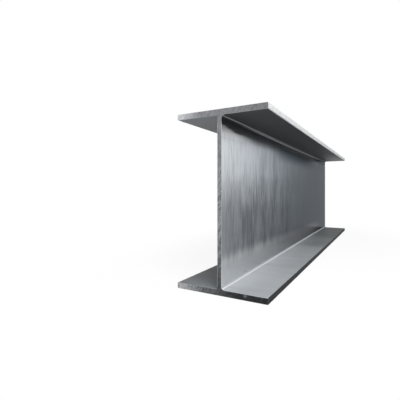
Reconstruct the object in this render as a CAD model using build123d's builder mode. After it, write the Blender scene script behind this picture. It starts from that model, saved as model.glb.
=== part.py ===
"""Hot-rolled steel H-beam in one piece: two equal flanges joined by a web, sawn square to length.

The beam stands on its lower flange. X runs along the length, Y across the flanges and Z up, in
millimetres, and the origin is the middle of the face that the beam rests on.
"""

import os

from build123d import *

# Overall size.
beam_length = 1000.0
section_depth = 305.0
flange_width = 165.0

# Both flanges keep one thickness from root to toe, as a parallel-flange section does.
flange_thickness = 10.2
web_thickness = 7.8

# The rolls leave a fillet where the web runs into each flange, and slightly rounded flange toes.
root_radius = 5.0
toe_radius = 1.5

# Deburring after the saw takes this much off the sharp edges of both ends.
end_arris = 0.4

with BuildPart() as h_beam:
    # The section is drawn across the beam: sketch x is the beam's Y, and sketch y is the height.
    with BuildSketch(Plane.YZ) as section:
        Rectangle(web_thickness, section_depth, align=(Align.CENTER, Align.MIN))
        Rectangle(flange_width, flange_thickness, align=(Align.CENTER, Align.MIN))
        with Locations((0, section_depth)):
            Rectangle(flange_width, flange_thickness, align=(Align.CENTER, Align.MAX))

        roots = section.vertices().filter_by_position(Axis.X, -web_thickness, web_thickness)
        fillet(roots, root_radius)

        corners_by_side = section.vertices().group_by(Axis.X)
        toes = corners_by_side[0] + corners_by_side[-1]
        fillet(toes, toe_radius)

    extrude(amount=beam_length / 2, both=True)

    sawn_ends = h_beam.faces().filter_by(Axis.X)
    chamfer(sawn_ends.edges(), end_arris)

h_beam.part.label = "h_beam"

os.makedirs("parts", exist_ok=True)
export_step(h_beam.part, "parts/h_beam.step")
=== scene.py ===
"""Steel h-beam: the look of one rolled length, sawn square at both ends, on a pale studio floor.

Metres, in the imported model's frame: X along the beam, Y across its flanges, Z up from the floor.
"""

import math

import bpy
import numpy as np
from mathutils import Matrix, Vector


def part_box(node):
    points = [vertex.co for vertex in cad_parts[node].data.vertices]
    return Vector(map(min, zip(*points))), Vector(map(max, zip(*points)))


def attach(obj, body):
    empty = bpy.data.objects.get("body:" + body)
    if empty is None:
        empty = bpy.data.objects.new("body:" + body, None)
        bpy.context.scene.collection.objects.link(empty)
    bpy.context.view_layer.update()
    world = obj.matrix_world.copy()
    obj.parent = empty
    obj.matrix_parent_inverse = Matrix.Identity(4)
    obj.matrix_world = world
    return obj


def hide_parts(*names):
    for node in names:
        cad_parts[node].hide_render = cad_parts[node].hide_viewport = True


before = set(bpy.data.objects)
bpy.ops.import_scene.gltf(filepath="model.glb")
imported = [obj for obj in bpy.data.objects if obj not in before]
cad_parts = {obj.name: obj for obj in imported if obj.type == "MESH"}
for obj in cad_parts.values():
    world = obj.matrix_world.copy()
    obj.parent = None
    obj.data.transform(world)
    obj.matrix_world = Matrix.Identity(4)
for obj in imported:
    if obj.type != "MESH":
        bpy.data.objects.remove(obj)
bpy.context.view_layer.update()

mm = 0.001
rng = np.random.default_rng(305)

# Sizes of the rolled section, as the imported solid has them.
low_corner, high_corner = (np.array(corner, float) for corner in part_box("h_beam"))
beam_length, flange_width, section_depth = high_corner - low_corner
flange_thickness = 10.2 * mm
web_thickness = 7.8 * mm
root_radius = 5.0 * mm
toe_radius = 1.5 * mm
end_arris = 0.4 * mm

# How finely the surface is divided.
toe_steps = 4
flange_steps = 20
under_web_steps = 8
thickness_steps = 6
root_steps = 10
web_steps = 92
arris_steps = 3
half_length_steps = 92
end_crowding = 3.0

# How the surface is worked and worn, all of it inwards.
rolling_wave = 0.14 * mm
saw_ripple = 0.07 * mm
saw_ripple_spacing = 5.2 * mm
knock_count = 150


def spaced(start, stop, steps):
    """Evenly spaced values from start to stop, both ends included."""
    return np.linspace(start, stop, steps + 1)


def smooth(value, start, stop):
    """0 before start, 1 after stop, and an even S between them: 3t squared - 2t cubed."""
    t = np.clip((value - start) / (stop - start), 0, 1)
    return t * t * (3 - 2 * t)


def section_rows(inset):
    """The section cut across the beam, drawn `inset` inside its rolled outline.

    Each flange is a grid of columns across the beam. A column's ends lie on the flange's faces, and
    near the toe they close in along the toe's quarter circle: height = radius x (1 - cos angle) at
    distance radius x sin angle. The web is a grid of rows whose half-width is the web's own, plus
    radius x (1 - sin angle) beside a root fillet, whose circle stands one radius off web and flange.
    An inset makes the toe's radius smaller, down to a fifth, and the root's larger.
    Returns the lower flange's, the web's and the upper flange's points as (rows, columns, 2) arrays.
    """
    half_width = flange_width / 2 - inset
    half_web = web_thickness / 2 - inset
    root = root_radius + inset
    toe = max(toe_radius - inset, 0.2 * toe_radius)
    inner = flange_thickness - inset

    toe_angle = spaced(math.pi / 2, 0, toe_steps)
    toe_across = half_width - toe + toe * np.sin(toe_angle)
    toe_closing = toe * (1 - np.cos(toe_angle))
    plain = spaced(half_width - toe, half_web + root, flange_steps)[1:]
    middle = spaced(half_web + root, -half_web - root, under_web_steps)[1:-1]
    right_side = np.concatenate([toe_across, plain])
    across = np.concatenate([-right_side, -middle, right_side[::-1]])
    closing = np.concatenate([toe_closing, np.zeros(len(plain))])
    closing = np.concatenate([closing, np.zeros(len(middle)), closing[::-1]])

    share = spaced(0, 1, thickness_steps)[:, None]
    heights = (inset + closing) * (1 - share) + (inner - closing) * share
    lower = np.stack([np.broadcast_to(across, heights.shape), heights], axis=-1)
    upper = np.stack([lower[::-1, :, 0], section_depth - lower[::-1, :, 1]], axis=-1)

    root_angle = spaced(0, math.pi / 2, root_steps)
    root_half = half_web + root * (1 - np.sin(root_angle))
    root_height = inner + root * (1 - np.cos(root_angle))
    plain_height = spaced(root_height[-1], section_depth - root_height[-1], web_steps)[1:-1]
    row_height = np.concatenate([root_height, plain_height, section_depth - root_height[::-1]])
    row_half = np.concatenate([root_half, np.full(len(plain_height), half_web), root_half[::-1]])
    web_across = row_half[:, None] * spaced(-1, 1, under_web_steps)
    web = np.stack([web_across, np.broadcast_to(row_height[:, None], web_across.shape)], axis=-1)
    return lower, web, upper


def section_numbers():
    """Numbers the section's points, so that flanges and web share those on the lines where they meet.

    Returns the three blocks of numbers, the count, and the outline: the numbers met by walking once
    round the section, starting along the lower flange's outer face towards +Y.
    """
    lower, web, _ = section_rows(0)
    rows, columns = lower.shape[:2]
    first = toe_steps + flange_steps
    last = first + under_web_steps
    lower_numbers = np.arange(rows * columns).reshape(rows, columns)
    upper_numbers = lower_numbers + rows * columns
    inner_rows = web.shape[0] - 2
    inner_numbers = 2 * rows * columns + np.arange(inner_rows * web.shape[1])
    web_numbers = np.concatenate(
        [
            lower_numbers[-1:, first : last + 1],
            inner_numbers.reshape(inner_rows, web.shape[1]),
            upper_numbers[:1, first : last + 1],
        ]
    )
    outline = np.concatenate(
        [
            lower_numbers[0, :-1],
            lower_numbers[:-1, -1],
            lower_numbers[-1, :last:-1],
            web_numbers[:-1, -1],
            upper_numbers[0, last:-1],
            upper_numbers[:-1, -1],
            upper_numbers[-1, :0:-1],
            upper_numbers[:0:-1, 0],
            upper_numbers[0, :first],
            web_numbers[:0:-1, 0],
            lower_numbers[-1, first:0:-1],
            lower_numbers[:0:-1, 0],
        ]
    )
    count = 2 * rows * columns + len(inner_numbers)
    return (lower_numbers, web_numbers, upper_numbers), count, outline


def section_points(inset, blocks, count):
    """The numbered points of the section drawn `inset` inside its outline, as (count, 2)."""
    points = np.zeros((count, 2))
    for numbers, rows in zip(blocks, section_rows(inset)):
        points[numbers] = rows
    return points


def ring_places():
    """Where each ring of the outline stands along the beam, and how far it is drawn in.

    The rings crowd towards both sawn ends as sinh of an even step. The first few follow the arris,
    a quarter circle: place = arris x (1 - cos angle), inset = arris x (1 - sin angle).
    """
    angle = spaced(0, math.pi / 2, arris_steps)
    arris_place = end_arris * (1 - np.cos(angle))
    arris_inset = end_arris * (1 - np.sin(angle))
    step = spaced(0, 1, half_length_steps)[1:]
    run = (beam_length / 2 - end_arris) * np.sinh(end_crowding * step) / math.sinh(end_crowding)
    place = np.concatenate([arris_place, end_arris + run])
    inset = np.concatenate([arris_inset, np.zeros(len(run))])
    places = np.concatenate([place, (beam_length - place)[-2::-1]]) - beam_length / 2
    return places, np.concatenate([inset, inset[-2::-1]])


def quads(numbers):
    """The four-sided faces between the neighbouring rows and columns of a block of numbers."""
    corners = [numbers[:-1, :-1], numbers[:-1, 1:], numbers[1:, 1:], numbers[1:, :-1]]
    return np.stack(corners, axis=-1).reshape(-1, 4)


def beam_surface():
    """The plain surface of the beam: its outline carried along X, closed by a grid at each sawn end.

    Returns the points, the faces, and for each face its finish: 0 the web's sides, 1 the flanges and
    the root fillets, 2 the sawn ends.
    """
    blocks, count, outline = section_numbers()
    places, insets = ring_places()
    end = section_points(insets[0], blocks, count)
    near = np.column_stack([np.full(count, places[0]), end])
    far = np.column_stack([np.full(count, places[-1]), end])
    rings = [
        np.column_stack([np.full(len(outline), place), section_points(inset, blocks, count)[outline]])
        for place, inset in zip(places[1:-1], insets[1:-1])
    ]
    points = np.concatenate([near, far, *rings])

    ring_numbers = 2 * count + np.arange(len(rings) * len(outline)).reshape(len(rings), -1)
    ring_numbers = np.concatenate([outline[None], ring_numbers, count + outline[None]])
    ring_numbers = np.concatenate([ring_numbers, ring_numbers[:, :1]], axis=1)
    sides = quads(ring_numbers)
    caps = np.concatenate([quads(block) for block in blocks])
    faces = np.concatenate([sides, caps[:, ::-1], count + caps])
    from_web = np.abs(points[faces, 1]).max(axis=1) - web_thickness / 2
    from_middle = np.abs(points[faces, 2] - section_depth / 2).min(axis=1)
    touching = 0.01 * mm
    web_half_height = section_depth / 2 - flange_thickness - root_radius
    on_web = (from_web < touching) & (from_middle < web_half_height)
    finish = np.where(on_web, 0, 1)
    finish[len(sides) :] = 2
    return points, faces, finish


def point_normals(points, faces):
    """Each point's outward direction: the sum of its faces' cross products, so large faces lead."""
    corners = points[faces]
    crossed = np.cross(corners[:, 2] - corners[:, 0], corners[:, 3] - corners[:, 1])
    total = np.zeros_like(points)
    for corner in range(4):
        np.add.at(total, faces[:, corner], crossed)
    return total / np.linalg.norm(total, axis=1, keepdims=True)


def swell(points, waves, shortest, longest):
    """A slow random field from 0 to 1: the mean of sines in random directions and of random lengths."""
    length = rng.uniform(shortest, longest, waves)
    direction = rng.normal(size=(waves, 3))
    direction /= np.linalg.norm(direction, axis=1, keepdims=True)
    phase = rng.uniform(0, 2 * math.pi, waves)
    total = np.sin(points @ (direction / length[:, None]).T * 2 * math.pi + phase).sum(axis=1)
    return 0.5 + 0.5 * total / waves


def dents(points, centres, radii, depths):
    """Small hollows: the sum of depth x exp(-distance squared), distance in radii along each axis."""
    total = np.zeros(len(points))
    radii_that_matter = 3
    for centre, radius, depth in zip(centres, radii, depths):
        near = np.abs(points[:, 0] - centre[0]) < radii_that_matter * radius[0]
        offset = (points[near] - centre) / radius
        total[near] += depth * np.exp(-(offset**2).sum(axis=1))
    return total


def edge_dents(count):
    """Centres, radii and depths of the small knocks along the flange toes and round the sawn ends.

    They crowd towards both ends. Away from an end they are longer, by 0.035 of the distance.
    """
    half = beam_length / 2
    crowding = 0.45
    side = rng.choice([-1, 1], count)
    edge_heights = np.array([0, flange_thickness, section_depth - flange_thickness, section_depth])
    crowded = rng.beta(crowding, crowding, count)
    centres = np.column_stack(
        [
            -half + crowded * beam_length,
            side * flange_width / 2,
            edge_heights[rng.integers(0, len(edge_heights), count)],
        ]
    )
    from_end = half - np.abs(centres[:, 0])
    along = rng.uniform(1.2, 2.6, count) * mm + 0.035 * from_end
    radii = np.column_stack([along, rng.uniform(0.8, 1.8, (count, 2)) * mm])
    depths = rng.uniform(0.12, 0.45, count) * mm
    return centres, radii, depths


def worn_depth(points, outward):
    """How far each point of the plain surface is worn in.

    Rolled faces wave by a slow random field. Sawn ends are rippled by 0.5 + 0.5 x sin(angle), where
    the angle grows up the end and a little across it, and wanders. The knocks are added to both.
    The face that the beam rests on stays flat.
    """
    end_share = np.clip(np.abs(outward[:, 0]), 0, 1)
    rolled = swell(points, 14, 90 * mm, 320 * mm) * rolling_wave
    slant = 0.35
    end_offset = np.sign(points[:, 0]) * 3 * mm
    bite = points[:, 1] * slant + points[:, 2] + end_offset
    wander = 3 * swell(points, 6, 30 * mm, 90 * mm)
    angle = bite / saw_ripple_spacing * 2 * math.pi + wander
    sawn = (0.5 + 0.5 * np.sin(angle)) * saw_ripple
    depth = rolled * (1 - end_share) + sawn * end_share
    depth = depth + dents(points, *edge_dents(knock_count))
    resting = (outward[:, 2] < -0.9) & (points[:, 2] < 1 * mm)
    depth[resting] = 0
    return depth


def root_painted_shade(points):
    """How much painted shadow of the upper flange lies on the web under its upper root, 0 to 1.

    It is the larger of a strip and a haze. The strip reaches 10 to 15 mm down at the ends, 8 mm
    deeper from 70 mm in, and thins out towards the beam's middle. The haze starts a quarter along,
    is thickest 20 to 28 mm down, ends at 60 mm, and fades out towards the far end.
    """
    along = points[:, 0]
    from_end = beam_length / 2 - np.abs(along)
    depth = (10 + 5 * swell(points, 8, 40 * mm, 160 * mm)) * mm
    depth = depth + 8 * mm * np.clip(from_end / (70 * mm), 0, 1)
    below_flange = section_depth - flange_thickness - points[:, 2]
    side_of_web = web_thickness / 2 + 0.25 * root_radius
    on_web = (np.abs(points[:, 1]) < side_of_web) & (below_flange > 0)
    strip = 1 - smooth(below_flange, depth, depth + 3 * mm)
    strip = strip * smooth(np.abs(along), 0.15 * beam_length, 0.45 * beam_length)
    haze = smooth(below_flange, 5 * mm, 20 * mm) * (1 - smooth(below_flange, 28 * mm, 60 * mm))
    haze = haze * smooth(along, -0.26 * beam_length, -0.14 * beam_length)
    haze = 0.95 * haze * (1 - 0.85 * smooth(along, 0.08 * beam_length, 0.33 * beam_length))
    return on_web * np.maximum(strip, haze)


def brushed_and_painted_light(points):
    """How much painted light lies on the web, from 0 to 1: the most that any of three places gives.

    The foot has a painted reflection of the lit ledge up to 22 mm above the flange, which fades out
    by 61 mm, a little lower in the far half. The near end's upper corner has a painted highlight for
    18 mm below the flange, which fades out by 36 mm. The upper root's far half has 0.3 of painted light.
    """
    along = points[:, 0]
    far_half = smooth(along, -400 * mm, 100 * mm)
    above_flange = points[:, 2] - flange_thickness
    below_flange = section_depth - flange_thickness - points[:, 2]
    foot = 1 - smooth(above_flange + 10 * mm * far_half, 22 * mm, 61 * mm)
    foot = foot * (1 - 0.1 * far_half) * (1 - smooth(along, 150 * mm, 420 * mm))
    corner = 1 - smooth(below_flange, 18 * mm, 36 * mm)
    corner = corner * (1 - smooth(along + beam_length / 2, 30 * mm, 170 * mm))
    far_root = 0.3 * (1 - smooth(below_flange, 12 * mm, 28 * mm))
    far_root = far_root * smooth(along, -250 * mm, -50 * mm)
    return np.maximum.reduce([foot, corner, far_root])


def smears_and_painted_shade(points):
    """How much the web is darkened by smears and by a painted band of shade, from 0 to 1.

    It is 0.45, and up to 0.55 more in patches about 0.42 of the way up, which gather there into a
    painted band of shade. The far half loses 0.9 of that, and a place with painted light loses 0.95.
    """
    along = points[:, 0]
    from_end = beam_length / 2 - np.abs(along)
    middle = 1 - smooth(np.abs(points[:, 2] / section_depth - 0.42), 0.1, 0.45)
    patches = 0.4 + 0.6 * smooth(swell(points, 10, 70 * mm, 180 * mm), 0.35, 0.65)
    share = 0.45 + 0.55 * middle * patches * smooth(from_end, 0, 60 * mm)
    return share * (1 - 0.9 * smooth(along, -280 * mm, 150 * mm)) * (1 - 0.95 * brushed_and_painted_light(points))


def root_painted_highlight(points, outward):
    """How strong the painted highlight along the root fillets is, from 0 to 1: a line where a fillet
    leans 31 to 60 degrees.

    The lean's sine is the height of the outward direction. The line fades by 0.65 towards the far
    end, and the upper roots have a tenth of it.
    """
    in_root = np.abs(points[:, 1]) < web_thickness / 2 + root_radius
    lean = np.abs(outward[:, 2])
    line = in_root * smooth(lean, 0.52, 0.7) * (1 - smooth(lean, 0.72, 0.87))
    line = line * (1 - 0.65 * smooth(points[:, 0], 50 * mm, 400 * mm))
    return np.where(points[:, 2] < section_depth / 2, line, 0.1 * line)


def tip_painted_reflection(points):
    """Painted reflection at a sawn end's tips towards +Y: 0.88 x an S from 34 to 81 mm across, wavy."""
    wavy = points[:, 1] + 5 * mm * swell(points, 6, 8 * mm, 30 * mm)
    return 0.88 * smooth(wavy, 34 * mm, 81 * mm)


def bright_fleck(points):
    """A chip of bare metal in the near end's lower flange: peak x exp(-distance squared), cut at 0.5."""
    centre = (-beam_length / 2, -45 * mm, 7.2 * mm)
    radii = (9 * mm, 2 * mm, 1.3 * mm)
    peak = 1.4
    return np.clip(dents(points, [centre], [radii], [peak]), 0, 0.5)


def foot_painted_shade(points):
    """How much painted shade darkens a sawn end, from 0 to 1.

    It is full at the foot, ends at 0.36 of the depth, and loses 0.85 towards +Y. Towards -Y it is
    at least 0.15 all the way up. A slow random field moves its upper edge up and down.
    """
    across = points[:, 1] / flange_width
    height = points[:, 2] / section_depth + 0.07 * (swell(points, 8, 15 * mm, 60 * mm) - 0.5)
    foot_shade = (1 - smooth(height, 0.02, 0.36)) * (1 - 0.85 * smooth(across, -0.25, 0.45))
    return np.maximum(foot_shade, 0.15 * smooth(-across, 0.1, 0.4))


def ledge_painted_shade(points, outward):
    """How much painted shade lies on the lower flange's two ledges, from 0 to 1.

    The ledge towards +Y has 0.56 of painted shadow all along. The other has none at the near end and
    0.74 of painted shade at the far end, in an uneven S between them: its place along the beam drifts
    by up to 150 mm.
    """
    drift = 300 * mm * (swell(points, 8, 60 * mm, 220 * mm) - 0.5)
    along = smooth(points[:, 0] + drift, -350 * mm, 400 * mm)
    ledge = np.where(points[:, 1] > 0, 0.56, 0.74 * along)
    return ledge * smooth(outward[:, 2], 0.3, 0.9) * (points[:, 2] < section_depth / 2)


def underside_painted_shade(points, outward):
    """How much painted shade lies on the faces that point down, from 0 to 1.

    It is nearly full towards -Y, thinner in the far outer corner, and 0.4 of that towards +Y. The
    near part of the root fillets has only half of it, which leaves a painted light line there.
    """
    along, across = points[:, 0], points[:, 1]
    lean = np.abs(outward[:, 2])
    in_root = np.abs(across) < web_thickness / 2 + root_radius
    # Where the near root fillets keep half their painted shade off: a painted light line.
    bare = in_root * smooth(lean, 0.45, 0.62) * (1 - smooth(lean, 0.78, 0.93))
    bare = 0.5 * bare * (1 - smooth(along, -450 * mm, 100 * mm))
    far_corner = smooth(along, 180 * mm, 420 * mm) * smooth(-across, 5 * mm, 55 * mm)
    thinned = 0.12 + 0.04 * smooth(-across, 10 * mm, 50 * mm) + 0.45 * far_corner
    facing_down = smooth(-outward[:, 2], 0.1, 0.4)
    return (1 - thinned) * facing_down * (1 - 0.6 * (across > 0)) * (1 - bare)


def arris_painted_highlight(points, outward):
    """How strong the painted highlight on the arris round a sawn end is: 0.1 on the lower flange, 0.7
    above it.

    The arris is where the outward direction is neither along the beam nor square to it.
    """
    end_share = np.clip(np.abs(outward[:, 0]), 0, 1)
    at_arris = smooth(end_share, 0.2, 0.4) * (1 - smooth(end_share, 0.9, 0.99))
    above_flange = smooth(points[:, 2], 2 * flange_thickness, 4 * flange_thickness)
    return at_arris * (0.1 + 0.6 * above_flange)


def toe_share(points):
    """1 on the flanges' rounded toes and 0 on their faces."""
    across = np.abs(points[:, 1])
    return smooth(across, flange_width / 2 - toe_radius, flange_width / 2 - 0.6 * toe_radius)


def surface_values(points, outward):
    """The numbers from 0 to 1 that the finishes read at each point, by name.

    Several draw random fields, one after the other, so the order of these lines is kept.
    """
    height = points[:, 2]
    low = height < section_depth / 2
    near_web = np.abs(points[:, 1]) < web_thickness
    upright = np.abs(outward[:, 2]) < 0.05
    at_toe = toe_share(points)
    under_root = root_painted_shade(points)
    # Painted light: a reflection on the web's foot, highlights on its near top corner and root fillets.
    clean = np.where(near_web, brushed_and_painted_light(points), 0) * upright + root_painted_highlight(points, outward)
    smears_on_flanges = 0.55
    smears = np.where(near_web, smears_and_painted_shade(points), smears_on_flanges)
    shine = tip_painted_reflection(points)
    fleck = bright_fleck(points)
    foot_shade = foot_painted_shade(points)
    on_ledge = ledge_painted_shade(points, outward)
    underneath = underside_painted_shade(points, outward)
    # Painted highlight: upper toes, arrises. Painted shade: undersides, ledges, lower toes, upper root.
    return {
        "painted_highlight": np.maximum(at_toe * ~low, arris_painted_highlight(points, outward)),
        "brushed_and_painted_light": clean,
        "smears_and_painted_shade": smears,
        # The sawn ends' +Y tips carry a painted reflection, and the chip of bare metal is added to it.
        "tip_painted_reflection": np.maximum(shine, fleck),
        "foot_painted_shade": foot_shade * (1 - fleck),
        "painted_shade": np.maximum.reduce([underneath, on_ledge, at_toe * low, under_root]),
        "coarse_cut": 1 - 0.55 * smooth(height, 0.6 * section_depth, 0.85 * section_depth),
    }


def build_beam():
    """The beam's mesh: the plain surface, worn in by a few tenths of a millimetre and never out."""
    points, faces, finish = beam_surface()
    outward = point_normals(points, faces)
    points = points - outward * worn_depth(points, outward)[:, None]

    mesh = bpy.data.meshes.new("h_beam_steel")
    mesh.from_pydata(points.tolist(), [], faces.tolist())
    mesh.polygons.foreach_set("material_index", finish.astype(np.int32))
    mesh.polygons.foreach_set("use_smooth", np.ones(len(faces), bool))
    mesh.normals_split_custom_set_from_vertices(point_normals(points, faces).tolist())
    for name, values in surface_values(points, outward).items():
        stored = mesh.attributes.new(name, "FLOAT", "POINT")
        stored.data.foreach_set("value", values.astype(np.float32))
    mesh.validate()
    mesh.update()

    beam = bpy.data.objects.new("h_beam_steel", mesh)
    bpy.context.scene.collection.objects.link(beam)
    return beam


def linear(hex_colour):
    """An sRGB hex colour as linear red, green, blue and full alpha."""
    channels = [int(hex_colour[i : i + 2], 16) / 255 for i in (1, 3, 5)]
    return (*(c / 12.92 if c <= 0.04045 else ((c + 0.055) / 1.055) ** 2.4 for c in channels), 1.0)


def add_node(tree, kind, inputs=None, **settings):
    """Adds one node, sets its properties, and gives each of its inputs a value or a link.

    An input is named, or numbered where several share a name.
    """
    made = tree.nodes.new(kind)
    for name, value in settings.items():
        setattr(made, name, value)
    for name, value in (inputs or {}).items():
        if isinstance(value, bpy.types.NodeSocket):
            tree.links.new(value, made.inputs[name])
        else:
            made.inputs[name].default_value = value
    return made


def new_material(name):
    """An empty node material, and its tree."""
    material = bpy.data.materials.new(name)
    material.use_nodes = True
    material.node_tree.nodes.clear()
    return material, material.node_tree


def rolled_steel(name, painted_light_colour, clean, dull, painted_shade_colour, smear_size, band_size, gloss):
    """Hot-rolled steel, with painted light and painted shade laid into its colour.

    Smears run round the section, across the rolling direction, as the brushing left them. The sizes
    of a smear and of a band are in millimetres along X, Y and Z. The gloss is the shader's settings.
    """
    material, tree = new_material(name)
    place = add_node(tree, "ShaderNodeTexCoord").outputs["Object"]

    # Single smears, ragged at their edges, lie on broad plain bands. One shows where 1.4 of the
    # smears' field and the bands' field together pass 1.05, and fully from 1.5.
    fields = []
    for size, detail, roughness in ((smear_size, 4.0, 0.6), (band_size, 1.0, 0.5)):
        drawn_out = add_node(
            tree, "ShaderNodeMapping", {"Vector": place, "Scale": 1 / (np.array(size) * mm)}
        ).outputs["Vector"]
        field = add_node(
            tree,
            "ShaderNodeTexNoise",
            {"Vector": drawn_out, "Scale": 1.0, "Detail": detail, "Roughness": roughness},
        ).outputs["Fac"]
        fields.append(field)
    smears, bands = fields
    total = add_node(
        tree, "ShaderNodeMath", {0: smears, 1: 1.4, 2: bands}, operation="MULTIPLY_ADD"
    ).outputs[0]
    smear = add_node(
        tree, "ShaderNodeMapRange", {"Value": total, "From Min": 1.05, "From Max": 1.5}
    ).outputs["Result"]
    share = add_node(tree, "ShaderNodeAttribute", attribute_name="smears_and_painted_shade").outputs["Fac"]
    smear = add_node(tree, "ShaderNodeMath", {0: smear, 1: share}, operation="MULTIPLY").outputs[0]
    # The share of painted light: painted reflection and highlights, in the palest colour.
    painted_light_share = add_node(tree, "ShaderNodeAttribute", attribute_name="brushed_and_painted_light").outputs["Fac"]

    # The painted shade is mid grey on the web and near black on the flanges. The painted highlight on
    # the upper toes and the sawn ends' arrises is pale grey. Grains about 4 mm across break up both, and
    # leave grey specks in the bright.
    grain = add_node(
        tree,
        "ShaderNodeTexNoise",
        {"Vector": place, "Scale": 1 / (4 * mm), "Detail": 3.0, "Roughness": 0.6},
    ).outputs["Fac"]
    layers = [(painted_light_share, painted_light_colour), (smear, dull)]
    for value_name, colour, start, stop, least in (
        ("painted_shade", painted_shade_colour, 0.4, 0.75, 0.97),
        ("painted_highlight", "#c8c9ca", 0.45, 0.7, 0.45),
    ):
        left = add_node(
            tree,
            "ShaderNodeMapRange",
            {"Value": grain, "From Min": start, "From Max": stop, "To Min": 1.0, "To Max": least},
        ).outputs["Result"]
        share = add_node(tree, "ShaderNodeAttribute", attribute_name=value_name).outputs["Fac"]
        share = add_node(tree, "ShaderNodeMath", {0: share, 1: left}, operation="MULTIPLY").outputs[0]
        layers.append((share, colour))

    steel = linear(clean)
    for share, colour in layers:
        steel = add_node(
            tree, "ShaderNodeMix", {0: share, 6: steel, 7: linear(colour)}, data_type="RGBA"
        ).outputs[2]
    relief = add_node(tree, "ShaderNodeMath", {0: smear, 1: grain}, operation="ADD").outputs[0]
    normal = add_node(
        tree, "ShaderNodeBump", {"Height": relief, "Strength": 0.2, "Distance": 0.1 * mm}
    ).outputs["Normal"]
    shader = add_node(tree, "ShaderNodeBsdfPrincipled", {"Base Color": steel, "Normal": normal, **gloss})
    add_node(tree, "ShaderNodeOutputMaterial", {"Surface": shader.outputs[0]})
    return material


def finish_web():
    """The web's sides: brushing left them satin, and an oxide film darkens them at a low angle."""
    return rolled_steel(
        "hot-rolled steel web, brushed satin",
        # The palest colour is the painted reflection and highlights on the web.
        painted_light_colour="#fdfeff",
        clean="#9b9ea1",
        dull="#797c7f",
        # The painted shade under the upper root.
        painted_shade_colour="#787c7f",
        smear_size=(7, 45, 45),
        band_size=(40, 180, 180),
        gloss={"Metallic": 1.0, "Roughness": 0.22, "Specular Tint": linear("#7d8083")},
    )


def finish_flanges():
    """The flanges and fillets: duller than the web, so the lamps' light shows more than the gloss."""
    return rolled_steel(
        "hot-rolled steel flanges, brushed dull",
        # The palest colour is the painted highlight along the root fillets.
        painted_light_colour="#d6d9dc",
        clean="#a6aaad",
        dull="#989ca0",
        # The near-black painted shade under the flanges, on the ledges and on the lower toes.
        painted_shade_colour="#26292b",
        smear_size=(25, 120, 120),
        band_size=(80, 160, 160),
        gloss={
            "Metallic": 0.35,
            "Roughness": 0.55,
            "Specular IOR Level": 0.1,
            "Specular Tint": linear("#898989"),
        },
    )


def finish_sawn_end():
    """Steel cut by a band saw: fine slanting cuts that scatter the light, with painted shade towards the
    foot.
    """
    material, tree = new_material("sawn steel")
    place = add_node(tree, "ShaderNodeTexCoord").outputs["Object"]

    # The saw's cuts are about 1 mm apart, drawn 2 mm apart so that they show from this far. They
    # lean 60 degrees, are about 10 mm long, and have grit about 2 mm across between them.
    cut_place = add_node(
        tree,
        "ShaderNodeMapping",
        {"Vector": place, "Rotation": (math.radians(-60), 0, 0), "Scale": (1, 10 * mm, 2 * mm)},
        vector_type="TEXTURE",
    ).outputs["Vector"]
    cuts = add_node(
        tree, "ShaderNodeTexNoise", {"Vector": cut_place, "Scale": 1.0, "Detail": 3.0, "Roughness": 0.6}
    ).outputs["Fac"]
    grit = add_node(
        tree,
        "ShaderNodeTexNoise",
        {"Vector": place, "Scale": 1 / (2 * mm), "Detail": 3.0, "Roughness": 0.7},
    ).outputs["Fac"]
    both = add_node(tree, "ShaderNodeMath", {0: cuts, 1: grit}, operation="ADD").outputs[0]
    ridge = add_node(
        tree, "ShaderNodeMapRange", {"Value": both, "From Min": 0.8, "From Max": 1.2}
    ).outputs["Result"]
    cut_steel = add_node(
        tree, "ShaderNodeMix", {0: ridge, 6: linear("#4e5052"), 7: linear("#a1a1a5")}, data_type="RGBA"
    ).outputs[2]

    coarse = add_node(tree, "ShaderNodeAttribute", attribute_name="coarse_cut").outputs["Fac"]
    steel = add_node(
        tree, "ShaderNodeMix", {0: coarse, 6: linear("#757679"), 7: cut_steel}, data_type="RGBA"
    ).outputs[2]

    # The cuts break up the painted reflection at the tips. They break up the painted shade at the foot
    # less: only the highest ridges stay a little lighter.
    shine_left = add_node(
        tree, "ShaderNodeMapRange", {"Value": ridge, "To Min": 0.45, "To Max": 1.0}
    ).outputs["Result"]
    foot_shade_left = add_node(
        tree, "ShaderNodeMapRange", {"Value": ridge, "From Min": 0.5, "To Min": 1.0, "To Max": 0.88}
    ).outputs["Result"]
    # A painted reflection at the +Y tips, with the chip, and painted shade at the foot.
    for value_name, colour, left in (
        ("tip_painted_reflection", "#c8c8cb", shine_left),
        ("foot_painted_shade", "#26292a", foot_shade_left),
    ):
        share = add_node(tree, "ShaderNodeAttribute", attribute_name=value_name).outputs["Fac"]
        share = add_node(tree, "ShaderNodeMath", {0: share, 1: left}, operation="MULTIPLY").outputs[0]
        steel = add_node(
            tree, "ShaderNodeMix", {0: share, 6: steel, 7: linear(colour)}, data_type="RGBA"
        ).outputs[2]
    normal = add_node(
        tree, "ShaderNodeBump", {"Height": both, "Strength": 0.4, "Distance": 0.1 * mm}
    ).outputs["Normal"]
    shader = add_node(
        tree,
        "ShaderNodeBsdfPrincipled",
        {"Base Color": steel, "Metallic": 0.85, "Roughness": 0.45, "Normal": normal},
    )
    add_node(tree, "ShaderNodeOutputMaterial", {"Surface": shader.outputs[0]})
    return material


def shows_background(tree):
    """1 for the rays that show the background: from the camera, in a gloss, and through glass."""
    path = add_node(tree, "ShaderNodeLightPath").outputs
    seen = add_node(
        tree, "ShaderNodeMath", {0: path["Is Camera Ray"], 1: path["Is Glossy Ray"]}, operation="MAXIMUM"
    ).outputs[0]
    return add_node(
        tree, "ShaderNodeMath", {0: seen, 1: path["Is Transmission Ray"]}, operation="MAXIMUM"
    ).outputs[0]


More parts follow.
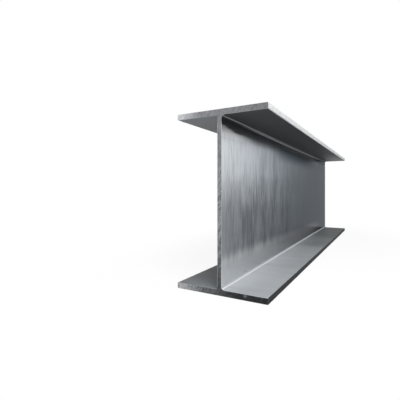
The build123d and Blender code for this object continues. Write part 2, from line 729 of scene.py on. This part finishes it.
def make_world():
    """A white backdrop all round, in a room that lights the beam more softly than it shows."""
    world = bpy.data.worlds.new("pale studio")
    world.use_nodes = True
    tree = world.node_tree
    tree.nodes.clear()
    room = add_node(tree, "ShaderNodeBackground", {"Color": linear("#ffffff"), "Strength": 0.3})
    white = add_node(tree, "ShaderNodeBackground", {"Color": linear("#ffffff"), "Strength": 1.0})
    seen = shows_background(tree)
    both = add_node(tree, "ShaderNodeMixShader", {0: seen, 1: room.outputs[0], 2: white.outputs[0]})
    add_node(tree, "ShaderNodeOutputWorld", {"Surface": both.outputs[0]})
    bpy.context.scene.world = world


def make_floor():
    """A white floor. In an oval round the beam a tenth of it is lit paper, which takes the shadow."""
    reach = 8.0
    oval_half_length, oval_half_width = 0.9, 0.5
    corners = [(-reach, -reach, 0), (reach, -reach, 0), (reach, reach, 0), (-reach, reach, 0)]
    mesh = bpy.data.meshes.new("studio_floor")
    mesh.from_pydata(corners, [], [(0, 1, 2, 3)])
    floor = bpy.data.objects.new("studio_floor", mesh)
    bpy.context.scene.collection.objects.link(floor)
    material, tree = new_material("white studio floor")
    place = add_node(tree, "ShaderNodeTexCoord").outputs["Object"]
    oval = add_node(
        tree,
        "ShaderNodeMapping",
        {"Vector": place, "Scale": (1 / oval_half_length, 1 / oval_half_width, 1)},
    ).outputs["Vector"]
    distance = add_node(tree, "ShaderNodeVectorMath", {0: oval}, operation="LENGTH").outputs["Value"]
    white_share = add_node(
        tree,
        "ShaderNodeMapRange",
        {"Value": distance, "From Min": 0.3, "From Max": 1.0, "To Min": 0.9, "To Max": 1.0},
        interpolation_type="SMOOTHSTEP",
    ).outputs["Result"]
    share = add_node(
        tree, "ShaderNodeMath", {0: shows_background(tree), 1: white_share}, operation="MULTIPLY"
    ).outputs[0]
    paper = add_node(tree, "ShaderNodeBsdfDiffuse", {"Color": linear("#f4f4f4")})
    white = add_node(tree, "ShaderNodeEmission", {"Color": linear("#ffffff"), "Strength": 1.0})
    both = add_node(tree, "ShaderNodeMixShader", {0: share, 1: paper.outputs[0], 2: white.outputs[0]})
    add_node(tree, "ShaderNodeOutputMaterial", {"Surface": both.outputs[0]})
    mesh.materials.append(material)


def make_lamp(name, place, aim, size, watts):
    """A soft rectangular lamp at a place, turned towards a point."""
    lamp = bpy.data.lights.new(name, "AREA")
    lamp.shape = "RECTANGLE"
    lamp.size, lamp.size_y = size
    lamp.energy = watts
    holder = bpy.data.objects.new(name, lamp)
    holder.location = place
    holder.rotation_euler = (Vector(aim) - Vector(place)).to_track_quat("-Z", "Y").to_euler()
    bpy.context.scene.collection.objects.link(holder)


def make_camera():
    """A level camera at the photograph's viewing angle.

    The corner of the near end's lower right toe lies `ahead` of the camera and `aside` to its right,
    both in beam depths, and the beam runs away `turn` to the right of the line of sight. The eye is
    level with `horizon_row` of the picture, and sees it from `focal_pixels` away.
    """
    turn = math.radians(30.6135)
    ahead, aside, eye_height = 1.5479, 0.3361, 0.5677
    picture_size, horizon_row, focal_pixels = 400, 189.643, 315.6
    sight = np.array([math.cos(turn), math.sin(turn)])
    rightwards = np.array([math.sin(turn), -math.cos(turn)])
    corner = np.array([-beam_length / 2, -flange_width / 2])
    place = corner - section_depth * (ahead * sight + aside * rightwards)
    camera = bpy.data.cameras.new("camera")
    camera.sensor_width = 36
    camera.lens = camera.sensor_width * focal_pixels / picture_size
    camera.shift_y = (horizon_row - picture_size / 2) / picture_size
    camera.clip_start = 0.01
    holder = bpy.data.objects.new("camera", camera)
    holder.location = (place[0], place[1], eye_height * section_depth)
    holder.rotation_euler = (math.pi / 2, 0, turn - math.pi / 2)
    bpy.context.scene.collection.objects.link(holder)
    bpy.context.scene.camera = holder


beam = build_beam()
for finish in (finish_web(), finish_flanges(), finish_sawn_end()):
    beam.data.materials.append(finish)
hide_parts("h_beam")
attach(beam, "root")

make_world()
make_floor()
make_camera()

# The key hangs over the near end, two lamps stand past the far end, and a weak one fills the left.
make_lamp("key", (-0.85, -0.5, 0.95), (-0.4, -0.05, 0.1), (0.5, 0.5), 14)
make_lamp("side", (1.23, -0.98, 0.55), (-0.4, 0, 0.24), (1.1, 0.6), 3.5)
make_lamp("low side", (1.23, -0.98, 0.16), (-0.4, 0, 0.2), (1.1, 0.16), 0.4)
make_lamp("fill", (-1.6, 1.1, 0.7), (-0.5, 0, 0.15), (0.5, 0.5), 1.5)

bpy.context.scene.view_settings.view_transform = "Standard"
